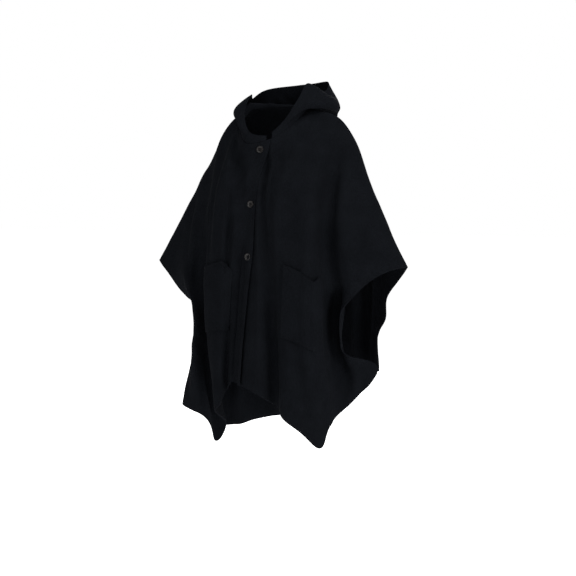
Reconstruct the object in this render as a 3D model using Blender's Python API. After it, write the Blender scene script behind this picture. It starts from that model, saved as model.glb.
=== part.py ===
# Hooded cape: two front panels, one back panel, a two-piece hood, two patch pockets, three buttons.
# Metres. +Z is up, +X is the wearer's left, the front faces -Y, the origin is the centre of the neck.
import math

import bpy
from mathutils import Vector

# Cloth
CLOTH = 0.003              # thickness of the boiled wool
SEAM = 0.0003              # gap kept between neighbouring pieces
PANEL_WIDTH = 0.72         # cloth from the centre front to the wrist

# Neckline, one side: where it passes the side of the neck, the centre front and the nape
NECK_SIDE_X = 0.105
THROAT_Y, THROAT_Z = -0.150, -0.115
NAPE_Y, NAPE_Z = 0.085, 0.010
NECK_SHARE = 0.18          # share of a panel's width that belongs to the neckline

# Closing: the right front laps over the left
LAP = 0.040
LAP_GAP = 0.0006
LAP_CELLS = 3
CENTRE_UNDER = 0.026       # how far the under front reaches past the centre at the neck

# Arm opening and side seam
SEAM_FROM = 0.93           # share of the outer edge where the opening ends and the side seam starts
SEAM_TURN = 0.34           # how strongly the cloth turns round the side as it reaches the seam

# Rounding of the cloth over the shoulder and arm: how far down it reaches and how flat it starts
RIDGE_DOWN, RIDGE_SOFT = 0.13, 0.76
NECK_SPREAD, SPREAD_DOWN = 0.026, 0.06   # how far the cloth runs outward below the side of the neck

# Overarm line of each side: share of the width, distance from the centre, height
OVERARM_LEFT = [
    dict(share=0.18, x=0.105, z=0.000),
    dict(share=0.31, x=0.205, z=-0.030),
    dict(share=0.43, x=0.263, z=-0.103),
    dict(share=0.58, x=0.304, z=-0.211),
    dict(share=0.76, x=0.353, z=-0.328),
    dict(share=0.90, x=0.400, z=-0.425),
    dict(share=1.00, x=0.437, z=-0.490),
]
OVERARM_RIGHT = [
    dict(share=0.18, x=0.105, z=0.000),
    dict(share=0.31, x=0.174, z=-0.036),
    dict(share=0.43, x=0.221, z=-0.110),
    dict(share=0.58, x=0.276, z=-0.214),
    dict(share=0.76, x=0.346, z=-0.326),
    dict(share=0.90, x=0.404, z=-0.419),
    dict(share=1.00, x=0.449, z=-0.487),
]

# Places across a half panel, in shares of its width: centre, panel, side of the body, fold, arm, edge
PLACES_LEFT = (0.0, 0.20, 0.42, 0.56, 0.76, 1.0)
PLACES_RIGHT = (0.0, 0.20, 0.34, 0.46, 0.74, 1.0)

# Sections from neck to hem. down: share of the length. Then the distance from the centre (x) and
# toward the front or back (y) at each place: c centre, p panel, s side, f fold, a arm, e edge.
# ad and ed: share of their own drop at arm and edge, where the cloth falls slantwise.
FRONT_LEFT = [
    dict(down=0.22, cx=-0.026, cy=0.176, px=0.106, py=0.174, sx=0.215, sy=0.128, fx=0.258, fy=0.102,
         ax=0.322, ay=0.070, ad=0.13, ex=0.386, ey=0.058, ed=0.05),
    dict(down=0.45, cx=-0.030, cy=0.191, px=0.110, py=0.197, sx=0.226, sy=0.160, fx=0.248, fy=0.112,
         ax=0.290, ay=0.114, ad=0.30, ex=0.310, ey=0.090, ed=0.23),
    dict(down=0.65, cx=-0.048, cy=0.203, px=0.106, py=0.208, sx=0.234, sy=0.162, fx=0.222, fy=0.098,
         ax=0.214, ay=0.040, ad=0.54, ex=0.246, ey=0.104, ed=0.53),
    dict(down=0.82, cx=-0.064, cy=0.210, px=0.102, py=0.210, sx=0.236, sy=0.160, fx=0.236, fy=0.108,
         ax=0.222, ay=0.050, ad=0.80, ex=0.250, ey=0.078, ed=0.82),
    dict(down=1.00, cx=-0.078, cy=0.214, px=0.096, py=0.207, sx=0.230, sy=0.120, fx=0.236, fy=0.086,
         ax=0.272, ay=0.030, ad=1.00, ex=0.322, ey=-0.045, ed=1.00),
]
FRONT_RIGHT = [
    dict(down=0.22, cx=0.0, cy=0.0, px=0.102, py=0.171, sx=0.178, sy=0.138, fx=0.222, fy=0.104,
         ax=0.318, ay=0.058, ad=0.16, ex=0.396, ey=0.035, ed=0.09),
    dict(down=0.45, cx=0.0, cy=0.0, px=0.106, py=0.190, sx=0.184, sy=0.158, fx=0.222, fy=0.104,
         ax=0.284, ay=0.110, ad=0.33, ex=0.330, ey=0.058, ed=0.22),
    dict(down=0.65, cx=0.0, cy=0.0, px=0.116, py=0.194, sx=0.180, sy=0.158, fx=0.208, fy=0.094,
         ax=0.246, ay=0.122, ad=0.55, ex=0.262, ey=0.056, ed=0.36),
    dict(down=0.82, cx=0.0, cy=0.0, px=0.122, py=0.190, sx=0.168, sy=0.160, fx=0.204, fy=0.080,
         ax=0.263, ay=0.110, ad=0.77, ex=0.300, ey=0.052, ed=0.70),
    dict(down=1.00, cx=0.0, cy=0.0, px=0.118, py=0.184, sx=0.148, sy=0.164, fx=0.168, fy=0.066,
         ax=0.272, ay=0.064, ad=1.00, ex=0.345, ey=0.030, ed=1.00),
]
BACK_LEFT = [
    dict(down=0.22, cx=0.0, cy=0.128, px=0.106, py=0.122, sx=0.214, sy=0.094, fx=0.262, fy=0.082,
         ax=0.325, ay=0.064, ad=0.15, ex=0.392, ey=0.038, ed=0.14),
    dict(down=0.45, cx=0.0, cy=0.150, px=0.110, py=0.150, sx=0.228, sy=0.130, fx=0.270, fy=0.116,
         ax=0.312, ay=0.102, ad=0.33, ex=0.344, ey=0.056, ed=0.32),
    dict(down=0.65, cx=0.0, cy=0.162, px=0.110, py=0.164, sx=0.232, sy=0.146, fx=0.272, fy=0.128,
         ax=0.312, ay=0.100, ad=0.54, ex=0.353, ey=0.036, ed=0.51),
    dict(down=0.82, cx=0.0, cy=0.172, px=0.108, py=0.172, sx=0.230, sy=0.150, fx=0.264, fy=0.130,
         ax=0.288, ay=0.110, ad=0.76, ex=0.302, ey=0.078, ed=0.69),
    dict(down=1.00, cx=0.0, cy=0.178, px=0.106, py=0.176, sx=0.228, sy=0.152, fx=0.262, fy=0.130,
         ax=0.292, ay=0.100, ad=1.00, ex=0.322, ey=0.045, ed=1.00),
]
BACK_RIGHT = [
    dict(down=0.22, cx=0.0, cy=0.128, px=0.106, py=0.122, sx=0.178, sy=0.106, fx=0.226, fy=0.090,
         ax=0.320, ay=0.062, ad=0.15, ex=0.394, ey=0.034, ed=0.15),
    dict(down=0.45, cx=0.0, cy=0.150, px=0.110, py=0.150, sx=0.190, sy=0.140, fx=0.240, fy=0.122,
         ax=0.304, ay=0.096, ad=0.33, ex=0.332, ey=0.062, ed=0.31),
    dict(down=0.65, cx=0.0, cy=0.162, px=0.110, py=0.164, sx=0.190, sy=0.156, fx=0.236, fy=0.148,
         ax=0.288, ay=0.130, ad=0.54, ex=0.312, ey=0.066, ed=0.47),
    dict(down=0.82, cx=0.0, cy=0.172, px=0.110, py=0.172, sx=0.194, sy=0.160, fx=0.242, fy=0.140,
         ax=0.296, ay=0.100, ad=0.76, ex=0.302, ey=0.050, ed=0.72),
    dict(down=1.00, cx=0.0, cy=0.178, px=0.108, py=0.176, sx=0.192, sy=0.162, fx=0.242, fy=0.134,
         ax=0.304, ay=0.082, ad=1.00, ex=0.345, ey=-0.030, ed=1.00),
]

# Top of each side seam: distance from the centre, y in the world, share of the edge's drop
SIDE_SEAM_LEFT = dict(x=0.322, y=0.042, drop=0.90)
SIDE_SEAM_RIGHT = dict(x=0.336, y=-0.032, drop=0.92)

# Height of each hem at shares of the width
HEM_FRONT_LEFT = [(0.00, -0.850), (0.10, -0.872), (0.20, -0.940), (0.29, -0.996), (0.37, -1.050), (0.45, -0.984),
                  (0.56, -0.958), (0.76, -0.908), (1.00, -0.822)]
HEM_FRONT_RIGHT = [(0.00, -0.850), (0.10, -0.890), (0.20, -0.925), (0.34, -0.952), (0.46, -1.005), (0.57, -1.068),
                   (0.64, -1.006), (0.80, -0.974), (1.00, -0.955)]
HEM_BACK_LEFT = [(0.00, -0.985), (0.20, -0.965), (0.42, -0.885), (0.56, -0.852), (0.76, -0.832), (1.00, -0.822)]
HEM_BACK_RIGHT = [(0.00, -0.985), (0.20, -1.010), (0.42, -1.040), (0.60, -1.045), (0.80, -1.000), (1.00, -0.955)]

# Folds: share of the width at the top and at the hem, half width in shares of the width, where
# each starts, is deepest and ends on the way down, and its depth toward the body in metres
FOLDS_FRONT_LEFT = [
    dict(top=0.000, hem=-0.01, half=0.09, start=0.40, full=1.00, end=1.40, depth=0.044),
    dict(top=0.150, hem=0.170, half=0.06, start=0.34, full=0.95, end=1.60, depth=0.050),
    dict(top=0.250, hem=0.260, half=0.07, start=0.18, full=0.36, end=0.52, depth=0.008),
    dict(top=0.340, hem=0.760, half=0.09, start=0.05, full=0.30, end=0.54, depth=0.044),
    dict(top=0.400, hem=0.430, half=0.05, start=0.62, full=0.90, end=1.30, depth=0.014),
    dict(top=0.700, hem=0.900, half=0.08, start=0.06, full=0.26, end=0.48, depth=0.013),
    dict(top=0.860, hem=0.880, half=0.05, start=0.76, full=0.92, end=1.10, depth=-0.012),
]
FOLDS_FRONT_RIGHT = [
    dict(top=0.050, hem=0.085, half=0.08, start=0.40, full=0.95, end=1.60, depth=0.024),
    dict(top=0.150, hem=0.150, half=0.05, start=0.14, full=0.40, end=0.52, depth=0.016),
    dict(top=0.400, hem=0.460, half=0.09, start=0.06, full=0.34, end=1.20, depth=0.036),
    dict(top=0.570, hem=0.570, half=0.06, start=0.70, full=1.00, end=1.60, depth=-0.026),
    dict(top=0.680, hem=0.720, half=0.08, start=0.06, full=0.30, end=0.60, depth=0.012),
]
FOLDS_BACK_LEFT = [
    dict(top=0.100, hem=0.130, half=0.08, start=0.30, full=0.90, end=1.60, depth=0.026),
    dict(top=0.340, hem=0.400, half=0.09, start=0.10, full=0.60, end=1.40, depth=0.044),
    dict(top=0.600, hem=0.640, half=0.09, start=0.12, full=0.60, end=1.30, depth=0.020),
]
FOLDS_BACK_RIGHT = [
    dict(top=0.120, hem=0.150, half=0.08, start=0.34, full=0.92, end=1.60, depth=0.028),
    dict(top=0.360, hem=0.420, half=0.09, start=0.10, full=0.66, end=1.50, depth=0.048),
    dict(top=0.600, hem=0.620, half=0.09, start=0.14, full=0.64, end=1.40, depth=0.012),
]

# Cells: shares of the width from the side of the neck outward, and of the length from top to hem
OUTER_SHARES = (0.18, 0.21, 0.24, 0.27, 0.30, 0.33, 0.36, 0.39, 0.42, 0.45, 0.48, 0.51, 0.54, 0.575, 0.61,
                0.65, 0.69, 0.73, 0.77, 0.81, 0.85, 0.89, 0.925, 0.96, 1.0)
DOWN_SHARES = (0.0, 0.02, 0.045, 0.08, 0.13, 0.19, 0.26, 0.34, 0.42, 0.50, 0.58, 0.66, 0.745, 0.83, 0.93, 1.0)
INNER_CELLS_FRONT, INNER_CELLS_BACK = 9, 6

# Hood sections round the neck, from the centre front (0) to the nape (1). out and up are measured
# from the neckline: stand, turn at the bottom of the fallen hood, outer wall, rim of the face edge.
HOOD_LEFT = [
    dict(around=0.00, stand_out=0.000, stand_up=0.003, turn_out=0.000, turn_up=0.010, wall_out=-0.001,
         wall_up=0.015, rim_out=-0.002, rim_up=0.018),
    dict(around=0.20, stand_out=-0.001, stand_up=0.009, turn_out=0.001, turn_up=0.020, wall_out=-0.001,
         wall_up=0.030, rim_out=-0.006, rim_up=0.039),
    dict(around=0.36, stand_out=0.001, stand_up=0.015, turn_out=0.021, turn_up=0.022, wall_out=0.025,
         wall_up=0.042, rim_out=-0.002, rim_up=0.066),
    dict(around=0.50, stand_out=0.002, stand_up=0.022, turn_out=0.066, turn_up=-0.006, wall_out=0.066,
         wall_up=0.034, rim_out=-0.002, rim_up=0.082),
    dict(around=0.60, stand_out=0.003, stand_up=0.022, turn_out=0.080, turn_up=-0.016, wall_out=0.084,
         wall_up=0.018, rim_out=0.040, rim_up=0.048),
    dict(around=0.71, stand_out=0.004, stand_up=0.018, turn_out=0.090, turn_up=-0.036, wall_out=0.094,
         wall_up=0.018, rim_out=0.062, rim_up=0.075),
    dict(around=1.00, stand_out=0.008, stand_up=0.006, turn_out=0.094, turn_up=-0.150, wall_out=0.126,
         wall_up=-0.050, rim_out=0.096, rim_up=0.078),
]
HOOD_RIGHT = [
    dict(around=0.00, stand_out=-0.001, stand_up=0.003, turn_out=-0.001, turn_up=0.007, wall_out=-0.002,
         wall_up=0.011, rim_out=-0.003, rim_up=0.014),
    dict(around=0.20, stand_out=0.000, stand_up=0.010, turn_out=0.001, turn_up=0.022, wall_out=-0.003,
         wall_up=0.034, rim_out=-0.012, rim_up=0.044),
    dict(around=0.36, stand_out=0.001, stand_up=0.015, turn_out=0.019, turn_up=0.020, wall_out=0.022,
         wall_up=0.038, rim_out=-0.010, rim_up=0.058),
    dict(around=0.50, stand_out=0.002, stand_up=0.020, turn_out=0.048, turn_up=-0.006, wall_out=0.050,
         wall_up=0.022, rim_out=-0.008, rim_up=0.052),
    dict(around=0.60, stand_out=0.003, stand_up=0.020, turn_out=0.062, turn_up=-0.022, wall_out=0.064,
         wall_up=0.006, rim_out=0.026, rim_up=0.032),
    dict(around=0.72, stand_out=0.004, stand_up=0.016, turn_out=0.082, turn_up=-0.046, wall_out=0.084,
         wall_up=0.000, rim_out=0.050, rim_up=0.056),
    dict(around=1.00, stand_out=0.008, stand_up=0.006, turn_out=0.094, turn_up=-0.150, wall_out=0.126,
         wall_up=-0.050, rim_out=0.096, rim_up=0.078),
]
HOOD_PLACES = (0.0, 0.14, 0.50, 0.76, 1.0)
HOOD_AROUND, HOOD_CELLS = 18, 12
HOOD_START_LEFT, HOOD_START_RIGHT = 0.060, -0.045
NECK_AXIS_Y = -0.030
NECK_SEAM = 0.0005

# Patch pockets: shares of the width and length of the panel they lie on
POCKET_LEFT = dict(inner=0.21, outer=0.42, mouth_in=0.505, mouth_out=0.458, foot_in=0.740, foot_out=0.668)
POCKET_RIGHT = dict(inner=0.08, outer=0.36, mouth_in=0.525, mouth_out=0.495, foot_in=0.765, foot_out=0.720)
POCKET_CELLS = 8
POCKET_CLEAR = 0.0012
POCKET_GAPE = 0.0025       # how far the mouth stands off at its middle

# Buttons
BUTTON_RADIUS, BUTTON_THICK, RIM_WIDTH, RIM_RISE = 0.0105, 0.0034, 0.0022, 0.0009
BUTTON_SIDES = 20
BUTTON_FROM_EDGE = 0.017
BUTTON_DOWNS = (0.030, 0.255, 0.470)

# Colours are linear
WOOL_COLOUR, WOOL_ROUGHNESS = (0.0075, 0.0080, 0.0095), 0.95
HORN_COLOUR, HORN_ROUGHNESS = (0.012, 0.011, 0.011), 0.35


def clear_objects():
    for item in list(bpy.data.objects):
        bpy.data.objects.remove(item, do_unlink=True)


def smooth_step(value):
    value = min(1.0, max(0.0, value))
    return value * value * (3 - 2 * value)


def spline(stations, values, at, start=None, end=None):
    """Smooth curve through values at stations; start and end fix the slope there when given."""
    last = len(stations) - 1
    i = 0
    while i < last - 1 and at > stations[i + 1]:
        i += 1

    def slope(k):
        if k == 0:
            return start if start is not None else (values[1] - values[0]) / (stations[1] - stations[0])
        if k == last:
            return end if end is not None else (values[k] - values[k - 1]) / (stations[k] - stations[k - 1])
        before, after = stations[k] - stations[k - 1], stations[k + 1] - stations[k]
        fall = (values[k] - values[k - 1]) / before
        rise = (values[k + 1] - values[k]) / after
        return (fall * after + rise * before) / (before + after)

    width = stations[i + 1] - stations[i]
    u = (at - stations[i]) / width
    h00, h10 = 2 * u ** 3 - 3 * u ** 2 + 1, u ** 3 - 2 * u ** 2 + u
    h01, h11 = 3 * u ** 2 - 2 * u ** 3, u ** 3 - u ** 2
    return values[i] * h00 + slope(i) * (h10 * width) + values[i + 1] * h01 + slope(i + 1) * (h11 * width)


def column(rows, key):
    return [row[key] for row in rows]


class Panel:
    """One half of a front or back as a surface over share of width and share of length."""

    def __init__(self, side, face, places, rows, hem, folds, seam, under=0.0, centre=None):
        self.side, self.face, self.places = side, face, places
        self.rows, self.hem, self.folds, self.seam = rows, hem, folds, seam
        self.under, self.centre = under, centre
        self.known = {}

    def top(self, s):
        """Neckline, then the overarm line: distance from the centre, y toward the face, height."""
        if s < NECK_SHARE:
            turn = math.radians(90) * s / NECK_SHARE
            x = NECK_SIDE_X * math.sin(turn) + self.under * (1 - s / NECK_SHARE) ** 2
            if self.face < 0:
                return Vector((x, -THROAT_Y * math.cos(turn) ** 0.9, THROAT_Z * math.cos(turn) ** 1.15))
            return Vector((x, NAPE_Y * math.cos(turn), NAPE_Z * math.cos(turn)))
        line = OVERARM_LEFT if self.side > 0 else OVERARM_RIGHT
        shares = column(line, "share")
        return Vector((spline(shares, column(line, "x"), s), 0.0, spline(shares, column(line, "z"), s)))

    def hem_height(self, s):
        return spline([place[0] for place in self.hem], [place[1] for place in self.hem], s)

    def edge(self, t):
        """Outer edge below the wrist: the arm opening, then the straight side seam."""
        seam_y = self.face * self.seam["y"]
        last = self.rows[-1]
        if t >= SEAM_FROM:
            mix = (t - SEAM_FROM) / (1 - SEAM_FROM)
            return Vector((self.seam["x"] + (last["ex"] - self.seam["x"]) * mix,
                           seam_y + (last["ey"] - seam_y) * mix,
                           self.seam["drop"] + (1 - self.seam["drop"]) * mix))
        downs = [0.0] + column(self.rows[:-1], "down") + [SEAM_FROM]
        top = self.top(1.0)
        xs = [top.x] + column(self.rows[:-1], "ex") + [self.seam["x"]]
        ys = [0.0] + column(self.rows[:-1], "ey") + [seam_y]
        drops = [0.0] + column(self.rows[:-1], "ed") + [self.seam["drop"]]
        return Vector((spline(downs, xs, t, start=0.0), spline(downs, ys, t, start=0.35),
                       spline(downs, drops, t, start=0.0)))

    def inner(self, t, which, top):
        """Track of one place across, between its top point and the hem."""
        downs = [0.0] + column(self.rows, "down")
        x = spline(downs, [top.x] + column(self.rows, which + "x"), t)
        y = spline(downs, [top.y] + column(self.rows, which + "y"), t, start=self.top_slope(which))
        return x, y

    def top_slope(self, which):
        """How fast the cloth runs toward the front or back as it leaves the top line."""
        return dict(c=0.16, p=0.30).get(which, 0.56)

    def section(self, t):
        """Everything across the panel that depends only on the share of length, worked out once."""
        if t in self.known:
            return self.known[t]
        place_tops = [self.top(place) for place in self.places]
        start = self.centre(t) if self.centre else self.inner(t, "c", place_tops[0])
        xs, ys = [start[0]], [start[1]]
        for which, place_top in zip("psfa", place_tops[1:5]):
            x, y = self.inner(t, which, place_top)
            xs.append(x)
            ys.append(y)
        edge = self.edge(t)
        xs.append(edge.x)
        ys.append(edge.y)
        arm_drop = spline([0.0] + column(self.rows, "down"), [0.0] + column(self.rows, "ad"), t, start=0.0)
        drops = [t, t, t, t + (arm_drop - t) * 0.4, arm_drop, edge.z]
        meet = smooth_step((t - SEAM_FROM + 0.08) / 0.08)
        end_x = (xs[5] - xs[4]) / (1 - self.places[4]) * (1 - meet)
        end_y = (ys[5] - ys[4]) / (1 - self.places[4]) * (1 - meet) - SEAM_TURN * meet
        self.known[t] = (place_tops, xs, ys, drops, end_x, end_y)
        return self.known[t]

    def plain(self, s, t):
        """The surface before its folds, in x, y toward the face, and height."""
        s = min(1.0, max(0.0, s))
        t = min(1.0, max(0.0, t))
        top = self.top(s)
        place_tops, xs, ys, drops, end_x, end_y = self.section(t)
        x = spline(self.places, xs, s, end=end_x)
        y = spline(self.places, ys, s, end=end_y)
        # near the top line the section takes the line's own curve
        level = 1 - smooth_step(t / 0.16)
        if level > 0:
            x += (top.x - spline(self.places, [place.x for place in place_tops], s)) * level
            y += (top.y - spline(self.places, [place.y for place in place_tops], s)) * level
        corner = smooth_step(1 - abs(s - NECK_SHARE) / 0.15)
        x += NECK_SPREAD * corner * t / SPREAD_DOWN * math.exp(1 - t / SPREAD_DOWN)
        drop = spline(self.places, drops, s)
        ridge = smooth_step((s - NECK_SHARE * 0.35) / (NECK_SHARE * 0.65))
        soften = 1 - ridge * (1 - smooth_step(t / RIDGE_DOWN)) * RIDGE_SOFT
        return Vector((x, y, top.z + (self.hem_height(s) - top.z) * drop * soften))

    def fold(self, s, t):
        total = 0.0
        for row in self.folds:
            off = abs(s - row["top"] - (row["hem"] - row["top"]) * t) / row["half"]
            if off < 1 and row["start"] < t < row["end"]:
                grown = smooth_step((t - row["start"]) / (row["full"] - row["start"]))
                faded = smooth_step((row["end"] - t) / (row["end"] - row["full"]))
                total += row["depth"] * grown * faded * 0.5 * (1 + math.cos(math.pi * off))
        if self.centre:
            total *= smooth_step(s / 0.05)
        return total * (1 - smooth_step((s - 0.92) / 0.08))

    def world(self, place):
        return Vector((self.side * place.x, self.face * place.y, place.z))

    def turned(self, before_s, after_s, before_t, after_t):
        normal = (after_t - before_t).cross(after_s - before_s)
        return normal.normalized() * (-self.side * self.face)

    def folded(self, s, t):
        step = 0.012
        low_s, high_s = max(0.0, s - step), min(1.0, s + step)
        low_t, high_t = max(0.0, t - step), min(1.0, t + step)
        normal = self.turned(self.world(self.plain(low_s, t)), self.world(self.plain(high_s, t)),
                             self.world(self.plain(s, low_t)), self.world(self.plain(s, high_t)))
        return self.world(self.plain(s, t)) - normal * self.fold(s, t)

    def point(self, s, t):
        place = self.folded(s, t)
        if (t == 0 and s >= NECK_SHARE) or (s == 1 and t >= SEAM_FROM):
            place.y += self.face * SEAM / 2
        return place

    def normal(self, s, t):
        step = 0.004
        low_s, high_s = max(0.0, s - step), min(1.0, s + step)
        low_t, high_t = max(0.0, t - step), min(1.0, t + step)
        normal = self.turned(self.folded(low_s, t), self.folded(high_s, t), self.folded(s, low_t),
                             self.folded(s, high_t))
        if (t == 0 and s >= NECK_SHARE) or (s == 1 and t >= SEAM_FROM):
            normal.y = 0.0
            normal.normalize()
        return normal


front_left = Panel(1, -1, PLACES_LEFT, FRONT_LEFT, HEM_FRONT_LEFT, FOLDS_FRONT_LEFT, SIDE_SEAM_LEFT,
                   under=-CENTRE_UNDER)
back_left = Panel(1, 1, PLACES_LEFT, BACK_LEFT, HEM_BACK_LEFT, FOLDS_BACK_LEFT, SIDE_SEAM_LEFT)
back_right = Panel(-1, 1, PLACES_RIGHT, BACK_RIGHT, HEM_BACK_RIGHT, FOLDS_BACK_RIGHT, SIDE_SEAM_RIGHT)


def over_left(s, t):
    """Point of the right front where it lies on the left front, and the direction out of it."""
    out = front_left.normal(s, t)
    return front_left.point(s, t) + out * (CLOTH + LAP_GAP), out


def right_centre(t):
    place, _ = over_left(0.0, t)
    return Vector((-place.x, -place.y, place.z))


front_right = Panel(-1, -1, PLACES_RIGHT, FRONT_RIGHT, HEM_FRONT_RIGHT, FOLDS_FRONT_RIGHT, SIDE_SEAM_RIGHT,
                    under=CENTRE_UNDER, centre=right_centre)


def right_front_place(s, t):
    """The right front from its free edge (negative shares, lying on the left front) to the wrist."""
    if s <= 0:
        return over_left(-s, t)
    return front_right.point(s, t), front_right.normal(s, t)


def sheet(name, places, mirrored=False):
    """Closed wall of cloth from a grid of (point, outward direction); its face is the outer side."""
    wide, tall = len(places), len(places[0])
    points = [place for line in places for place, _ in line]
    points += [place - out * CLOTH for line in places for place, out in line]
    inner = wide * tall
    faces = []

    def quad(a, b, c, d):
        faces.append((a, b, c))
        faces.append((a, c, d))

    for i in range(wide - 1):
        for j in range(tall - 1):
            a, b = i * tall + j, (i + 1) * tall + j
            if mirrored:
                quad(b, b + 1, a + 1, a)
                quad(inner + b, inner + a, inner + a + 1, inner + b + 1)
            else:
                quad(a, b, b + 1, a + 1)
                quad(inner + a, inner + a + 1, inner + b + 1, inner + b)
    for i in range(wide - 1):
        for j in (0, tall - 1):
            a, b = i * tall + j, (i + 1) * tall + j
            if j == 0:
                quad(a, inner + a, inner + b, b)
            else:
                quad(b, inner + b, inner + a, a)
    for j in range(tall - 1):
        for i in (0, wide - 1):
            a = i * tall + j
            if i == 0:
                quad(a + 1, inner + a + 1, inner + a, a)
            else:
                quad(a, inner + a, inner + a + 1, a + 1)
    return solid(name, points, faces)


def solid(name, points, faces):
    mesh = bpy.data.meshes.new(name)
    mesh.from_pydata([tuple(point) for point in points], [], faces)
    mesh.validate()
    volume = 0.0
    for face in faces:
        a, b, c = (points[k] for k in face)
        volume += a.dot(b.cross(c)) / 6
    if volume < 0:
        mesh.flip_normals()
    mesh.update()
    item = bpy.data.objects.new(name, mesh)
    bpy.context.collection.objects.link(item)
    return item


def material(item, stuff, colour, roughness):
    made = bpy.data.materials.new(item.name + "_" + stuff)
    made.use_nodes = True
    surface = made.node_tree.nodes["Principled BSDF"]
    surface.inputs["Base Color"].default_value = (*colour, 1.0)
    surface.inputs["Roughness"].default_value = roughness
    item.data.materials.append(made)


def even(first, last, cells):
    return [first + (last - first) * k / cells for k in range(cells + 1)]


def panel_grid(place_at, shares):
    return [[place_at(s, t) for t in DOWN_SHARES] for s in shares]


def front_shares(lap_share):
    under = even(0.0, lap_share, LAP_CELLS)
    rest = even(lap_share, NECK_SHARE, INNER_CELLS_FRONT - LAP_CELLS)
    return under + rest[1:] + list(OUTER_SHARES[1:])


def left_place(s, t):
    return front_left.point(s, t), front_left.normal(s, t)


def back_place(s, t):
    """The whole back from the right wrist (-1) to the left wrist (1)."""
    if s < 0:
        return back_right.point(-s, t), back_right.normal(-s, t)
    place, out = back_left.point(s, t), back_left.normal(s, t)
    if s == 0:
        out.x = 0.0
        out.normalize()
    return place, out


lap_share = LAP / PANEL_WIDTH
lap_shares = [-share for share in reversed(even(0.0, lap_share, LAP_CELLS))]
left_shares = front_shares(lap_share)
own_shares = even(0.0, NECK_SHARE, INNER_CELLS_FRONT) + list(OUTER_SHARES[1:])
right_shares = lap_shares[:-1] + own_shares
back_shares = even(0.0, NECK_SHARE, INNER_CELLS_BACK) + list(OUTER_SHARES[1:])


def chord_place(place_at, shares, s):
    """Point on the straight edges between a panel's own columns at its top line."""
    for low, high in zip(shares, shares[1:]):
        if low <= s <= high:
            mix = (s - low) / (high - low)
            (first, first_out), (second, second_out) = place_at(low, 0.0), place_at(high, 0.0)
            return first.lerp(second, mix), first_out.lerp(second_out, mix).normalized()


def neck_place(u, side):
    """Neckline round one side: point, out of the cloth, and the level direction away from the neck."""
    if u <= 0.5:
        start = HOOD_START_LEFT if side > 0 else HOOD_START_RIGHT
        s = min(NECK_SHARE, start + (NECK_SHARE - start) * u / 0.5)
        if side > 0:
            place, out = chord_place(left_place, left_shares, s)
        else:
            place, out = chord_place(right_front_place, right_shares, s)
    else:
        s = max(0.0, NECK_SHARE * (1 - (u - 0.5) / 0.5))
        place, out = chord_place(back_place, back_shares, s)
        if side < 0:
            place, out = Vector((-place.x, place.y, place.z)), Vector((-out.x, out.y, out.z))
    away = Vector((place.x, place.y - NECK_AXIS_Y, 0.0))
    if abs(u - 1) < 1e-6:
        away = Vector((0.0, 1.0, 0.0))
    return place, out, away.normalized()


def hood_place(u, v, side, rows):
    place, out, away = neck_place(u, side)
    before, after = neck_place(max(0.0, u - 0.02), side)[0], neck_place(min(1.0, u + 0.02), side)[0]
    along = (after - before).normalized()
    rise = out.cross(along).normalized()
    if rise.z < 0:
        rise = -rise
    arounds = column(rows, "around")
    outs = [0.0] + [spline(arounds, column(rows, key + "_out"), u) for key in ("stand", "turn", "wall", "rim")]
    ups = [0.0] + [spline(arounds, column(rows, key + "_up"), u) for key in ("stand", "turn", "wall", "rim")]
    reach = 0.05
    level = spline(HOOD_PLACES, outs, v, start=rise.dot(away) * reach)
    height = spline(HOOD_PLACES, ups, v, start=max(0.03, rise.z * reach))
    return place + rise * NECK_SEAM + away * level + Vector((0, 0, height))


def hood_grid(side, rows):
    grid = []
    for u in even(0.0, 1.0, HOOD_AROUND):
        line = []
        for v in even(0.0, 1.0, HOOD_CELLS):
            step = 0.02
            low_u, high_u = max(0.0, u - step), min(1.0, u + step)
            low_v, high_v = max(0.0, v - step), min(1.0, v + step)
            across = hood_place(high_u, v, side, rows) - hood_place(low_u, v, side, rows)
            upward = hood_place(u, high_v, side, rows) - hood_place(u, low_v, side, rows)
            out = upward.cross(across).normalized() * -side
            place = hood_place(u, v, side, rows)
            if v == 0:
                out = neck_place(u, side)[1]
            if u == 1.0:
                out.x = 0.0
                out.normalize()
                place.x = side * SEAM / 2
            line.append((place, out))
        grid.append(line)
    return grid


def on_cell_edge(place_at, s, t):
    """Point on the straight cell edge between two rows of the panel, so that a patch can lie on it."""
    for above, below in zip(DOWN_SHARES, DOWN_SHARES[1:]):
        if above <= t <= below:
            mix = (t - above) / (below - above)
            (high, high_out), (low, low_out) = place_at(s, above), place_at(s, below)
            return high.lerp(low, mix), high_out.lerp(low_out, mix).normalized()


def pocket_grid(place_at, shares, size):
    """The pocket on the panel's own columns between inner and outer, moved out of the cloth."""
    grid = []
    for s in shares:
        if size["inner"] - 0.001 <= s <= size["outer"] + 0.001:
            mix = (s - size["inner"]) / (size["outer"] - size["inner"])
            mouth = size["mouth_in"] + (size["mouth_out"] - size["mouth_in"]) * mix
            foot = size["foot_in"] + (size["foot_out"] - size["foot_in"]) * mix
            line = []
            for down in even(0.0, 1.0, POCKET_CELLS):
                place, out = on_cell_edge(place_at, s, mouth + (foot - mouth) * down)
                gape = POCKET_GAPE * math.sin(math.pi * mix) * (1 - down) ** 2
                line.append((place + out * (CLOTH + POCKET_CLEAR + gape), out))
            grid.append(line)
    return grid


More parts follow.
